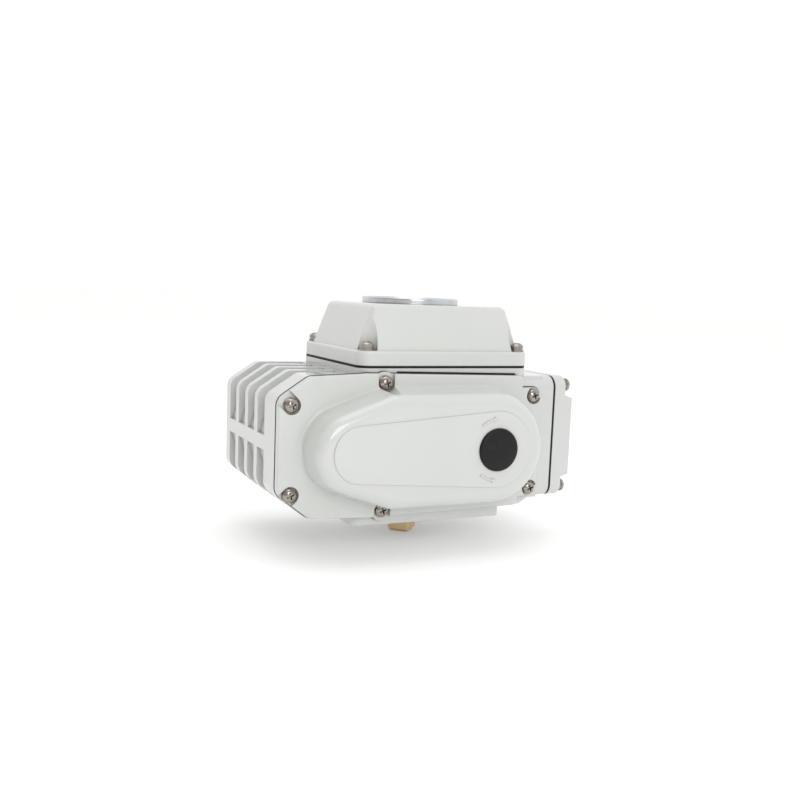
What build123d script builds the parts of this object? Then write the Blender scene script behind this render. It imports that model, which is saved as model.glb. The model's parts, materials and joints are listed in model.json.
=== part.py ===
from build123d import *
import math
import os

# Quarter-turn electric valve actuator. Millimetres, +Z up.
# Origin: the output shaft's axis where it leaves the face that bolts to the valve.
# The gear cover faces -Y and the terminal box is at +X.

# Housing
BODY_LEFT = -121.5
BODY_FRONT = -59.0
BODY_BACK = 61.0
BODY_BOTTOM = 8.0
BODY_TOP = 103.4
TOP_FLANGE_Z = 108.3
FLANGE_THICKNESS = 8.0

# Axes of the drive train, all at one height
AXIS_Z = 55.0
MOTOR_X = -76.5
WORM_X = 28.5
CHAMBER_R = 36.0
FIN_FLOOR_R = 43.0
FIN_GROOVES = [-27.0, -3.5, 20.0, 43.5]
FIN_GROOVE_WIDTH = 16.0

# Gear cover
COVER_GASKET = 0.7
COVER_GASKET_PROUD = 0.3
COVER_PLATE = 5.6
POCKET_DEPTH = 3.0
POCKET_R = 6.0
BULGE_HEIGHT = 24.0
BULGE_DRAFT = 10.0
BULGE_WALL = 5.0
BULGE_FOOT_R = 2.0
CROWN_R = 8.0
BULGE_BIG_R = 41.5
BULGE_SMALL_R = 30.0
BULGE_SMALL_X = -75.5
SHOULDER_X = -47.0
SHOULDER_R = 12.0
PLUG_HOLE_R = 13.0
CROWN_WALL = 3.0
PANEL_BIG_R = 26.6
PANEL_SMALL_R = 19.0
PANEL_SMALL_X = -73.0
PANEL_RAISE = 0.8
PANEL_EDGE_R = 0.6
ARROW_RAISE = 0.5
ARROW_R = 21.5
ARROW_WIDTH = 1.3
PLUG_R = 15.0
PLUG_STEM_R = 12.9

# Top cover
TOP_GASKET = 1.8
LIP_LEFT = -64.0
LIP_RIGHT = 70.0
LIP_FRONT = -60.0
LIP_BACK = 55.0
LIP_HEIGHT = 10.0
TOP_COVER_Z = 151.5
TOP_DRAFT = 20.5
TOP_WALL = 3.5
NICHE_R = 7.5
NICHE_INSET = 7.5
BEZEL_R = 35.75
BEZEL_HEIGHT = 4.5
WINDOW_HOLE_R = 27.0
LENS_R = 31.5
LENS_TOP_R = 28.5
WINDOW_SEAL = 0.6

# Terminal box
TERMINAL_LEFT = 62.0
TERMINAL_SPLIT = 90.5
TERMINAL_FRONT = -61.7
TERMINAL_BACK = 44.0
TERMINAL_BOTTOM = 12.4
TERMINAL_TOP = 102.6
TERMINAL_CORNER_R = 9.0
TERMINAL_GASKET = 1.8
TERMINAL_COVER = 9.8
TERMINAL_PANEL = 6.0
POLES = 8
POLE_PITCH = 7.0
EARTH_POINT = (12.0, 78.0)

# Fasteners
M5_R = 2.5
M5_HEAD_R = 4.75
M5_HEAD = 3.6
WASHER_R = 5.2
WASHER = 1.0
SPRING_WASHER = 1.3
SCREW_GAP = 0.15

# Gears
GEAR_MODULE = 1.0
GEAR_WIDTH = 6.5
GEAR_BACKLASH = 0.20
PRESSURE_ANGLE = math.radians(20)
PINION_TEETH = 14
IDLER1_BIG = 44
IDLER1_SMALL = 16
IDLER2_BIG = 52
IDLER2_SMALL = 18
DRIVE_TEETH = 66
LEVEL_A = -62.0
LEVEL_B = -70.0
LEVEL_C = -78.0
WORM_MODULE = 1.5
WHEEL_TEETH = 30
WORM_PITCH_R = 6.0
WHEEL_BOTTOM = 48.0
WHEEL_TOP = 62.0
WHEEL_FACE = 12.0
WHEEL_TOOTH = 0.80

# Cavities and bores of the housing
CHAMBER_BACK = 50.0
CHAMBER_ROOF = 94.0
BRACKET_R = 42.0
BRACKET_SCREW_R = 39.0
WORM_FRONT_SEAT = -50.0
WORM_REAR_SEAT = 38.0
WORM_REAR_END = 46.5
WORM_FRONT_BEARING_R = 11.0
WORM_REAR_BEARING_R = 9.5
WORM_TUNNEL_R = 10.0
WORM_SHAFT_R = 5.0
WELL_R = 26.0
WELL_TOP = 68.0
UPPER_BUSH_R = 12.5
IDLER_PIN_R = 3.0
IDLER_PIN_SEAT = 12.0
COMPARTMENT_FLOOR = 74.0
COMPARTMENT_X = (-33.0, 54.0)
COMPARTMENT_Y = (-50.0, 47.0)
COMPARTMENT_LEFT = -53.0
BACK_STEP_X = 67.5
TERMINAL_INNER = 66.0
TERMINAL_ROOM_Y = (-44.0, 34.0)
TERMINAL_ROOM_Z = (22.0, 93.0)
WIRE_WAY_Y = (-8.0, 8.0)
WIRE_WAY_Z = (80.0, 91.0)
CABLE_ENTRY_X = 77.0
CABLE_ENTRY_Z = [40.0, 75.0]
CABLE_ENTRY_R = 9.2
RUNNING_GAP = 0.03

# Valve interface: four threaded holes on a circle
VALVE_PCD = 70.0
VALVE_HOLE_R = 3.4
M6_R = 3.0

# Motor
MOTOR_SHAFT_R = 4.0
MOTOR_BEARING_R = 9.5
ROTOR_R = 19.6
STATOR_Y = (-30.0, 12.0)
END_PLATE_Y = 26.0

# Worm shaft
WORM_TURNS = 5
THREAD_HALF = 0.95
WORM_LENGTH = 28.0
WORM_ROOT_R = 4.1
CRANK_NOSE_Y = -84.0
CRANK_HEX = 6.0

# Motor capacitor
CAPACITOR_X = 42.0
CAPACITOR_Z = 85.0
CAPACITOR_R = 8.5

# Mounting flange
FLANGE_LEFT = -66.0
FLANGE_RIGHT = 50.5
FLANGE_FRONT = -58.6
FLANGE_BACK = 54.0
SPIGOT_TOP = 18.0
SEAL_R = 16.0
SEAL_TOP = 6.0
LOWER_BUSH_R = 14.0
BUSH_FLANGE = 1.8
M6_HEAD_R = 5.0
M6_HEAD = 5.0

# Output shaft
STUB_SQUARE = 17.0
STUB_LENGTH = 20.5
SHAFT_R = 11.0
JOURNAL_R = 9.0
CAM_SHAFT_R = 6.0
CAM_SHAFT_TOP = 99.0
POST_SPIGOT_R = 4.0
CIRCLIP_Z = 74.2
STOP_ARM_Z = 77.4
CAM_Z = [81.4, 92.0]
CAM_PITCH = 10.6
CAM_WIDTH = 4.6
CAM_R = 14.0
CAM_LOBE_R = 17.8
SWITCH_Y = 24.0
SWITCH_PLATE_Z = 77.5
LEVER_X = 8.0
LEVER_Y = 22.0
LEVER_TIP_Y = 18.6
DIAL_Z = 143.0
DIAL_R = 25.0
STOP_R = 19.0
STOP_PIN_R = 2.5
STOP_ANGLE = 67.0

IDLER2_X = WORM_X - GEAR_MODULE * (DRIVE_TEETH + IDLER2_SMALL) / 2
IDLER1_X = IDLER2_X - GEAR_MODULE * (IDLER2_BIG + IDLER1_SMALL) / 2

COVER_BACK = BODY_FRONT - COVER_GASKET
COVER_FACE = COVER_BACK - COVER_PLATE
BULGE_FACE = COVER_FACE - BULGE_HEIGHT
PLUG_SEAT = BULGE_FACE - PANEL_RAISE - 0.05

# Gear cover screws: two on the left chamfers, two in lugs, two by the terminal box
COVER_SCREWS = [(-112.5, 84.8), (-112.5, 25.5), (-46.1, 98.8), (-46.1, 11.5), (71.5, 88.8), (71.5, 20.8)]
POCKET_EXITS = [(-0.7, 0.7), (-0.7, -0.7), (0, 1), (0, -1), (0.5, 0.87), (0.5, -0.87)]
LUG_SCREWS = COVER_SCREWS[2:4]
TOP_SCREWS = [
    (x, y)
    for x in (LIP_LEFT + NICHE_INSET, LIP_RIGHT - NICHE_INSET)
    for y in (LIP_FRONT + NICHE_INSET, LIP_BACK - NICHE_INSET)
]
TERMINAL_SCREWS = [(y, z) for y in (TERMINAL_FRONT + 7.2, TERMINAL_BACK - 5.5) for z in (19.5, 95.5)]
FLANGE_SCREWS = [(x, y) for x in (-58.0, 41.0) for y in (-46.0, 42.0)]
VALVE_BOLTS = [
    (VALVE_PCD / 2 * math.cos(math.radians(a)), VALVE_PCD / 2 * math.sin(math.radians(a)))
    for a in (45, 135, 225, 315)
]
STOP_PINS = [
    (STOP_R * math.cos(math.radians(a)), STOP_R * math.sin(math.radians(a)))
    for a in (STOP_ANGLE, -STOP_ANGLE)
]
BRACKET_SCREWS = [
    (MOTOR_X + BRACKET_SCREW_R * math.cos(math.radians(a)), AXIS_Z + BRACKET_SCREW_R * math.sin(math.radians(a)))
    for a in (50, 130, 230, 310)
]

os.makedirs("parts", exist_ok=True)


def save(piece, name):
    """Label a finished piece and write its STEP file."""
    piece.part.label = name
    export_step(piece.part, f"parts/{name}.step")


def rod_x(y, z, x0, x1, radius, mode=Mode.ADD):
    """Round bar or bore along X between x0 and x1."""
    with Locations(((x0 + x1) / 2, y, z)):
        Cylinder(radius, abs(x1 - x0), rotation=(0, 90, 0), mode=mode)


def rod_y(x, z, y0, y1, radius, mode=Mode.ADD):
    """Round bar or bore along Y between y0 and y1."""
    with Locations((x, (y0 + y1) / 2, z)):
        Cylinder(radius, abs(y1 - y0), rotation=(90, 0, 0), mode=mode)


def rod_z(x, y, z0, z1, radius, mode=Mode.ADD):
    """Round bar or bore along Z between z0 and z1."""
    with Locations((x, y, (z0 + z1) / 2)):
        Cylinder(radius, abs(z1 - z0), mode=mode)


def block(x0, x1, y0, y1, z0, z1, mode=Mode.ADD):
    """Box between two corners."""
    with Locations(((x0 + x1) / 2, (y0 + y1) / 2, (z0 + z1) / 2)):
        Box(abs(x1 - x0), abs(y1 - y0), abs(z1 - z0), mode=mode)


def pan_screw(radius, length, head_r, head):
    """Pan-head screw with a cross recess: seat at z=0, head up, shank down."""
    with BuildPart() as screw:
        with BuildSketch(Plane.XZ):
            with BuildLine():
                Polyline((0, head), (0, 0), (head_r, 0), (head_r, head * 0.45))
                ThreePointArc((head_r, head * 0.45), (head_r * 0.7, head * 0.86), (0, head))
            make_face()
        revolve(axis=Axis.Z)
        with Locations((0, 0, -length / 2)):
            Cylinder(radius, length)
        for turn in (0, 90):
            with Locations((0, 0, head * 0.75)):
                Box(head_r * 1.05, head_r * 0.24, head * 0.9, rotation=(0, 0, turn + 20), mode=Mode.SUBTRACT)
        chamfer(screw.faces().sort_by(Axis.Z)[0].edges(), radius * 0.25)
    return screw.part


def washer(inner, outer, thick):
    """Flat washer standing on z=0."""
    with BuildPart() as ring:
        with BuildSketch():
            Circle(outer)
            Circle(inner, mode=Mode.SUBTRACT)
        extrude(amount=thick)
    return ring.part


def spring_washer(inner, outer, thick):
    """Split lock washer standing on z=0."""
    with BuildPart() as ring:
        with BuildSketch():
            Circle(outer)
            Circle(inner, mode=Mode.SUBTRACT)
            with Locations((outer, 0)):
                Rectangle(outer, 0.8, mode=Mode.SUBTRACT)
        extrude(amount=thick)
    return ring.part


def place(shape, planes):
    """Add one copy of a shape at each plane."""
    with Locations(*planes):
        add(shape)


def front_planes(points, y):
    """Planes facing the front, -Y."""
    return [Plane(origin=(x, y, z), x_dir=(1, 0, 0), z_dir=(0, -1, 0)) for x, z in points]


def top_planes(points, z):
    """Planes facing up."""
    return [Plane(origin=(x, y, z)) for x, y in points]


def right_planes(points, x):
    """Planes facing the terminal end, +X."""
    return [Plane(origin=(x, y, z), x_dir=(0, 1, 0), z_dir=(1, 0, 0)) for y, z in points]


def body_outline():
    """Front view of the housing: left end chamfered, right end stepped up under the terminal box."""
    with BuildSketch() as outline:
        with BuildLine():
            Polyline(
                (BODY_LEFT, 26),
                (BODY_LEFT, 89.3),
                (-100, BODY_TOP),
                (TERMINAL_SPLIT - 9, BODY_TOP - 1),
                (TERMINAL_SPLIT - 9, TERMINAL_BOTTOM),
                (74, TERMINAL_BOTTOM),
                (66.5, BODY_BOTTOM),
                (-99, BODY_BOTTOM),
                close=True,
            )
        make_face()
        fillet(outline.vertices().group_by(Axis.X)[0], 9)
        fillet(outline.vertices().filter_by(lambda v: abs(v.X + 99.5) < 1), 7)
    return outline.sketch


def cover_outline():
    """Whole outline of the gear cover's plate, with its lugs and ears."""
    with BuildSketch() as outline:
        with BuildLine():
            Polyline(
                (BODY_LEFT, 26.2),
                (BODY_LEFT, 89.1),
                (-100.2, 103.4),
                (-58, 105.4),
                (62, 103.4),
                (62, 94.8),
                (77.5, 94.8),
                (77.5, 14.8),
                (62, 14.8),
                (62, 8.8),
                (-58, 7.0),
                (-98.8, 9.2),
                close=True,
            )
        make_face()
        fillet(outline.vertices().group_by(Axis.X)[0], 9)
        fillet(outline.vertices().filter_by(lambda v: v.X > 70), 5.5)
        fillet(outline.vertices().filter_by(lambda v: abs(v.X + 99.5) < 1), 7)
        fillet(outline.vertices().filter_by(lambda v: abs(v.X - 62) < 0.1 and (v.Y < 10 or v.Y > 100)), 4)
        with Locations(*LUG_SCREWS):
            Circle(7.6)
    return outline.sketch


def belt_outline(circles):
    """Outline of a belt drawn tight round circles of (x, z, radius), the first at the right."""
    with BuildSketch() as outline:
        with BuildLine():
            for index, (x, z, radius) in enumerate(circles):
                CenterArc((x, z), radius, 180 if index == 0 else 0, 360)
        make_hull()
    return outline.sketch


def bulge_outline(inset):
    """Outline of the gear bulge where it meets the plate, drawn in by inset."""
    shoulder = BULGE_BIG_R - SHOULDER_R
    return belt_outline([
        (WORM_X, AXIS_Z, BULGE_BIG_R - inset),
        (BULGE_SMALL_X, AXIS_Z, BULGE_SMALL_R - inset),
        (SHOULDER_X, AXIS_Z + shoulder, SHOULDER_R - inset),
        (SHOULDER_X, AXIS_Z - shoulder, SHOULDER_R - inset),
    ])


def rounded_box(x0, x1, y0, y1, radius):
    """Plan of a rectangle with round corners."""
    with BuildSketch() as plan:
        with Locations(((x0 + x1) / 2, (y0 + y1) / 2)):
            RectangleRounded(x1 - x0, y1 - y0, radius)
    return plan.sketch


def gear_outline(teeth, module, first_tooth):
    """Face of an involute spur gear, one tooth centred on the angle first_tooth in degrees."""
    pitch_r = module * teeth / 2
    base_r = pitch_r * math.cos(PRESSURE_ANGLE)
    half_tooth = (math.pi * module / 2 - GEAR_BACKLASH) / (2 * pitch_r)
    pitch_involute = math.tan(PRESSURE_ANGLE) - PRESSURE_ANGLE
    flank = []
    for radius in (pitch_r - 1.25 * module, pitch_r, pitch_r + 0.9 * module):
        angle = math.acos(min(1, base_r / radius))
        flank.append((radius, half_tooth + pitch_involute - math.tan(angle) + angle))
    points = []
    for tooth in range(teeth):
        centre = math.radians(first_tooth) + 2 * math.pi * tooth / teeth
        for radius, spread in flank:
            points.append((radius * math.cos(centre - spread), radius * math.sin(centre - spread)))
        for radius, spread in reversed(flank):
            points.append((radius * math.cos(centre + spread), radius * math.sin(centre + spread)))
    with BuildSketch() as outline:
        with BuildLine():
            Polyline(*points, close=True)
        make_face()
    return outline.sketch


def spur_gear(x, front, teeth, first_tooth):
    """Spur gear on an axis along Y at x, its housing-side face at y=front."""
    with BuildPart() as gear:
        with BuildSketch(Plane.XZ.offset(-front)):
            with Locations((x, AXIS_Z)):
                add(gear_outline(teeth, GEAR_MODULE, first_tooth))
        extrude(amount=GEAR_WIDTH)
    return gear.part


def meshing_tooth(teeth):
    """First tooth of a driven gear, so that a gap faces the driver at its left."""
    return 180 + 180 / teeth


def bearing_y(x, y0, y1, inner, outer):
    """Ball bearing on an axis along Y, with its races parted by shallow shield grooves."""
    middle = (inner + outer) / 2
    with BuildPart() as bearing:
        rod_y(x, AXIS_Z, y0, y1, outer)
        for start, end in ((y0 - 1, y0 + 0.5), (y1 - 0.5, y1 + 1)):
            with BuildSketch(Plane.XZ.offset(-start)):
                with Locations((x, AXIS_Z)):
                    Circle(middle + 1.2)
                    Circle(middle - 1.2, mode=Mode.SUBTRACT)
            extrude(amount=start - end, mode=Mode.SUBTRACT)
        rod_y(x, AXIS_Z, y0 - 1, y1 + 1, inner, mode=Mode.SUBTRACT)
    return bearing.part


# ---------------------------------------------------------------- housing

with BuildPart() as main_housing:
    with BuildSketch(Plane.XZ.offset(-BODY_FRONT)):
        add(body_outline())
    extrude(amount=BODY_FRONT - BODY_BACK)
    block(BACK_STEP_X, 100, TERMINAL_BACK, BODY_BACK + 1, 0, 120, mode=Mode.SUBTRACT)
    # Terminal box, standing proud of the body's front face by the cover's ears
    with BuildSketch(Plane.YZ.offset(TERMINAL_LEFT + 1)):
        add(rounded_box(TERMINAL_FRONT, TERMINAL_BACK, TERMINAL_BOTTOM, TERMINAL_TOP, TERMINAL_CORNER_R))
    extrude(amount=TERMINAL_SPLIT - TERMINAL_LEFT - 1)
    # Raised flange that carries the top cover
    with BuildSketch(Plane.XY.offset(BODY_TOP - 3)):
        add(rounded_box(LIP_LEFT, LIP_RIGHT, BODY_FRONT, LIP_BACK, 9))
    extrude(amount=TOP_FLANGE_Z - BODY_TOP + 3)
    # Bed for the gear cover's ears
    with BuildSketch(Plane.XZ.offset(-BODY_FRONT)):
        add(cover_outline())
        offset(amount=0.6, kind=Kind.INTERSECTION)
    extrude(amount=10, mode=Mode.SUBTRACT)
    # Cooling fins round the motor: grooves with a floor that follows the motor chamber
    for groove in FIN_GROOVES:
        with BuildSketch(Plane.XZ.offset(-groove + FIN_GROOVE_WIDTH / 2)):
            with Locations((-98, AXIS_Z)):
                Rectangle(64, 120)
            with Locations((MOTOR_X, AXIS_Z)):
                Circle(FIN_FLOOR_R, mode=Mode.SUBTRACT)
            with Locations((MOTOR_X + 20, AXIS_Z)):
                Rectangle(40, 2 * FIN_FLOOR_R, mode=Mode.SUBTRACT)
            with Locations((BODY_LEFT + 8, AXIS_Z + 1)):
                Rectangle(24, 10, mode=Mode.SUBTRACT)
        extrude(amount=-FIN_GROOVE_WIDTH, mode=Mode.SUBTRACT)
    rod_x(*EARTH_POINT, TERMINAL_INNER - 8, TERMINAL_INNER + 1, 2.1, mode=Mode.SUBTRACT)
    # Motor chamber, worm tunnel and the well of the worm wheel
    rod_y(MOTOR_X, AXIS_Z, BODY_FRONT - 5, CHAMBER_BACK, CHAMBER_R, mode=Mode.SUBTRACT)
    rod_y(WORM_X, AXIS_Z, BODY_FRONT - 5, WORM_FRONT_SEAT, WORM_FRONT_BEARING_R, mode=Mode.SUBTRACT)
    rod_y(WORM_X, AXIS_Z, WORM_FRONT_SEAT, WORM_REAR_SEAT, WORM_TUNNEL_R, mode=Mode.SUBTRACT)
    rod_y(WORM_X, AXIS_Z, WORM_REAR_SEAT, WORM_REAR_END, WORM_REAR_BEARING_R, mode=Mode.SUBTRACT)
    rod_z(0, 0, 0, WELL_TOP, WELL_R, mode=Mode.SUBTRACT)
    rod_z(0, 0, WELL_TOP, 120, UPPER_BUSH_R, mode=Mode.SUBTRACT)
    rod_y(IDLER2_X, AXIS_Z, BODY_FRONT - 1, BODY_FRONT + IDLER_PIN_SEAT, IDLER_PIN_R, mode=Mode.SUBTRACT)
    # Upper compartment, in two steps over the motor chamber
    block(*COMPARTMENT_X, *COMPARTMENT_Y, COMPARTMENT_FLOOR, 120, mode=Mode.SUBTRACT)
    block(COMPARTMENT_LEFT, 0, *COMPARTMENT_Y, CHAMBER_ROOF, 120, mode=Mode.SUBTRACT)
    rod_z(-48, 20, AXIS_Z, 120, 4, mode=Mode.SUBTRACT)
    # Terminal compartment, its wire way and the two cable entries at the back
    block(TERMINAL_INNER, 100, TERMINAL_FRONT + 5, TERMINAL_ROOM_Y[0], 31, 78, mode=Mode.SUBTRACT)
    block(TERMINAL_INNER, 100, *TERMINAL_ROOM_Y, *TERMINAL_ROOM_Z, mode=Mode.SUBTRACT)
    block(50, 70, *WIRE_WAY_Y, *WIRE_WAY_Z, mode=Mode.SUBTRACT)
    for z in CABLE_ENTRY_Z:
        rod_y(CABLE_ENTRY_X, z, 30, 50, CABLE_ENTRY_R, mode=Mode.SUBTRACT)
    # Seat of the motor bracket and its screws
    rod_y(MOTOR_X, AXIS_Z, BODY_FRONT - 1, BODY_FRONT + 2.5, BRACKET_R + 0.2, mode=Mode.SUBTRACT)
    for x, z in BRACKET_SCREWS:
        rod_y(x, z, BODY_FRONT, BODY_FRONT + 12, 1.5, mode=Mode.SUBTRACT)
    # Screw holes
    for x, z in COVER_SCREWS:
        rod_y(x, z, BODY_FRONT - 1, BODY_FRONT + 13, M5_R + SCREW_GAP, mode=Mode.SUBTRACT)
    for x, y in TOP_SCREWS:
        rod_z(x, y, TOP_FLANGE_Z - 13, TOP_FLANGE_Z + 1, M5_R + SCREW_GAP, mode=Mode.SUBTRACT)
    for y, z in TERMINAL_SCREWS:
        rod_x(y, z, TERMINAL_SPLIT - 12, TERMINAL_SPLIT + 1, M5_R + SCREW_GAP, mode=Mode.SUBTRACT)
    for x, y in FLANGE_SCREWS:
        rod_z(x, y, BODY_BOTTOM - 1, BODY_BOTTOM + 15, M6_R + SCREW_GAP, mode=Mode.SUBTRACT)
    for x, y in VALVE_BOLTS:
        rod_z(x, y, BODY_BOTTOM - 1, BODY_BOTTOM + 10, VALVE_HOLE_R + 0.6, mode=Mode.SUBTRACT)
    for x, y in STOP_PINS:
        rod_z(x, y, COMPARTMENT_FLOOR - 8, COMPARTMENT_FLOOR + 1, STOP_PIN_R, mode=Mode.SUBTRACT)
save(main_housing, "main_housing")

# ---------------------------------------------------------------- gear cover

with BuildPart() as front_cover:
    with BuildSketch(Plane.XZ.offset(-COVER_BACK)):
        add(cover_outline())
    extrude(amount=COVER_PLATE)
    fillet(front_cover.faces().sort_by(Axis.Y)[0].edges(), 1.2)
    with BuildSketch(Plane.XZ.offset(-COVER_FACE)):
        add(bulge_outline(0))
    extrude(amount=BULGE_HEIGHT, taper=BULGE_DRAFT)
    fillet(front_cover.faces().sort_by(Axis.Y)[0].edges(), CROWN_R)
    plate_face = front_cover.faces().filter_by(Axis.Y).sort_by(Axis.Y)[1]
    fillet(plate_face.inner_wires()[0].edges(), BULGE_FOOT_R)
    # Low belt-shaped panel on the crown
    with BuildSketch(Plane.XZ.offset(-BULGE_FACE)):
        add(belt_outline([(WORM_X, AXIS_Z, PANEL_BIG_R), (PANEL_SMALL_X, AXIS_Z, PANEL_SMALL_R)]))
    extrude(amount=PANEL_RAISE)
    fillet(front_cover.faces().sort_by(Axis.Y)[0].edges(), PANEL_EDGE_R)
    # Raised turning arrows above and below the crank hole
    for first, sweep_angle in ((128, -30), (232, 30)):
        with BuildSketch(Plane.XZ.offset(-BULGE_FACE + PANEL_RAISE)):
            with BuildLine():
                CenterArc((WORM_X, AXIS_Z), ARROW_R, first, sweep_angle)
            trace(line_width=ARROW_WIDTH)
            tip = math.radians(first + sweep_angle)
            with Locations((WORM_X + ARROW_R * math.cos(tip), AXIS_Z + ARROW_R * math.sin(tip))):
                RegularPolygon(ARROW_WIDTH * 1.6, 3)
        extrude(amount=ARROW_RAISE)
    # Hollow for the gear train
    with BuildSketch(Plane.XZ.offset(-COVER_BACK)):
        add(bulge_outline(BULGE_WALL))
    extrude(amount=COVER_BACK - BULGE_FACE - CROWN_WALL, taper=BULGE_DRAFT, mode=Mode.SUBTRACT)
    rod_y(WORM_X, AXIS_Z, BULGE_FACE - 2, BULGE_FACE + 8, PLUG_HOLE_R, mode=Mode.SUBTRACT)
    # Screw pockets, open to the plate's edge, and screw holes
    for x, z in COVER_SCREWS:
        rod_y(x, z, BULGE_FACE - 1, COVER_FACE + POCKET_DEPTH, POCKET_R, mode=Mode.SUBTRACT)
        rod_y(x, z, COVER_FACE - 1, COVER_BACK + 1, M5_R + 0.25, mode=Mode.SUBTRACT)
    # Each pocket runs out through the nearest edge of the plate
    for (x, z), (out_x, out_z) in zip(COVER_SCREWS, POCKET_EXITS):
        with BuildSketch(Plane.XZ.offset(-COVER_FACE - POCKET_DEPTH)):
            with Locations(Location((x + out_x * 8, z + out_z * 8), math.degrees(math.atan2(out_z, out_x)))):
                Rectangle(16, 2 * POCKET_R)
        extrude(amount=15, mode=Mode.SUBTRACT)
save(front_cover, "front_cover")

with BuildPart() as front_cover_gasket:
    with BuildSketch(Plane.XZ.offset(-BODY_FRONT)):
        add(cover_outline())
        offset(amount=COVER_GASKET_PROUD)
        # The gasket stands up behind the plate's top edge
        with BuildLine():
            Polyline((-36, 104), (-36, 106.3), (58, 104.7), (58, 102.4), close=True)
        make_face()
        add(bulge_outline(BULGE_WALL), mode=Mode.SUBTRACT)
        with Locations(*COVER_SCREWS):
            Circle(M5_R + 0.4, mode=Mode.SUBTRACT)
    extrude(amount=COVER_GASKET)
save(front_cover_gasket, "front_cover_gasket")

POCKET_FLOOR = COVER_FACE + POCKET_DEPTH
with BuildPart() as front_cover_washers:
    place(washer(M5_R + 0.1, WASHER_R, WASHER), front_planes(COVER_SCREWS, POCKET_FLOOR))
save(front_cover_washers, "front_cover_washers")

with BuildPart() as front_cover_screws:
    place(pan_screw(M5_R, 15, M5_HEAD_R, M5_HEAD), front_planes(COVER_SCREWS, POCKET_FLOOR - WASHER))
save(front_cover_screws, "front_cover_screws")

# Plug over the hand crank's socket: a cap with a round flange and a hollow stem
with BuildPart() as manual_drive_plug:
    with BuildSketch(Plane.YZ.offset(WORM_X)):
        with BuildLine():
            Polyline(
                (PLUG_SEAT, AXIS_Z + PLUG_STEM_R),
                (PLUG_SEAT + 4.3, AXIS_Z + PLUG_STEM_R),
                (PLUG_SEAT + 4.3, AXIS_Z + PLUG_STEM_R - 2.5),
                (PLUG_SEAT - 0.5, AXIS_Z + PLUG_STEM_R - 2.5),
                (PLUG_SEAT - 0.5, AXIS_Z),
                (PLUG_SEAT - 3.2, AXIS_Z),
            )
            ThreePointArc(
                (PLUG_SEAT - 3.2, AXIS_Z),
                (PLUG_SEAT - 2.9, AXIS_Z + PLUG_R * 0.6),
                (PLUG_SEAT - 2.2, AXIS_Z + PLUG_R - 1.4),
            )
            ThreePointArc(
                (PLUG_SEAT - 2.2, AXIS_Z + PLUG_R - 1.4),
                (PLUG_SEAT - 1.5, AXIS_Z + PLUG_R - 0.4),
                (PLUG_SEAT - 0.6, AXIS_Z + PLUG_R),
            )
            Polyline(
                (PLUG_SEAT - 0.6, AXIS_Z + PLUG_R),
                (PLUG_SEAT, AXIS_Z + PLUG_R),
                (PLUG_SEAT, AXIS_Z + PLUG_STEM_R),
            )
        make_face()
    revolve(axis=Axis((WORM_X, 0, AXIS_Z), (0, 1, 0)))
save(manual_drive_plug, "manual_drive_plug")

# ---------------------------------------------------------------- top cover and window

TOP_SEAT = TOP_FLANGE_Z + TOP_GASKET
LIP_TOP = TOP_SEAT + LIP_HEIGHT
with BuildPart() as dome_inside:
    with BuildSketch(Plane.XY.offset(LIP_TOP - 4)):
        add(rounded_box(LIP_LEFT + 9, LIP_RIGHT - 9, LIP_FRONT + 9, LIP_BACK - 9, 8))
    extrude(amount=TOP_COVER_Z - TOP_WALL - LIP_TOP + 4, taper=TOP_DRAFT)
    for x, y in TOP_SCREWS:
        rod_z(x, y, LIP_TOP - 5, TOP_COVER_Z, NICHE_R + 3, mode=Mode.SUBTRACT)

with BuildPart() as top_cover:
    with BuildSketch(Plane.XY.offset(TOP_SEAT)):
        add(rounded_box(LIP_LEFT, LIP_RIGHT, LIP_FRONT, LIP_BACK, 10))
    extrude(amount=LIP_HEIGHT)
    fillet(top_cover.faces().sort_by(Axis.Z)[-1].edges(), 2)
    with BuildSketch(Plane.XY.offset(LIP_TOP - 2)):
        add(rounded_box(LIP_LEFT + 2.5, LIP_RIGHT - 2.5, LIP_FRONT + 2.5, LIP_BACK - 2.5, 14))
    extrude(amount=TOP_COVER_Z - LIP_TOP + 2, taper=TOP_DRAFT)
    fillet(top_cover.faces().sort_by(Axis.Z)[-1].edges(), 5)
    # Inside of the dome, then the niches over the screws
    with BuildSketch(Plane.XY.offset(TOP_SEAT)):
        add(rounded_box(LIP_LEFT + 9, LIP_RIGHT - 9, LIP_FRONT + 9, LIP_BACK - 9, 8))
    extrude(amount=LIP_HEIGHT, mode=Mode.SUBTRACT)
    add(dome_inside.part, mode=Mode.SUBTRACT)
    rod_z(0, 0, TOP_COVER_Z - 8, TOP_COVER_Z + 1, WINDOW_HOLE_R, mode=Mode.SUBTRACT)
    for x, y in TOP_SCREWS:
        rod_z(x, y, LIP_TOP, TOP_COVER_Z + 5, NICHE_R, mode=Mode.SUBTRACT)
        rod_z(x, y, TOP_SEAT - 1, LIP_TOP + 1, M5_R + 0.25, mode=Mode.SUBTRACT)
save(top_cover, "top_cover")

with BuildPart() as top_cover_gasket:
    with BuildSketch(Plane.XY.offset(TOP_FLANGE_Z)):
        add(rounded_box(LIP_LEFT + 0.3, LIP_RIGHT - 0.3, LIP_FRONT + 1.0, LIP_BACK - 0.3, 9))
        add(rounded_box(LIP_LEFT + 11, LIP_RIGHT - 11, LIP_FRONT + 12, LIP_BACK - 11, 4), mode=Mode.SUBTRACT)
        with Locations(*TOP_SCREWS):
            Circle(M5_R + 0.4, mode=Mode.SUBTRACT)
    extrude(amount=TOP_GASKET)
save(top_cover_gasket, "top_cover_gasket")

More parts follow.
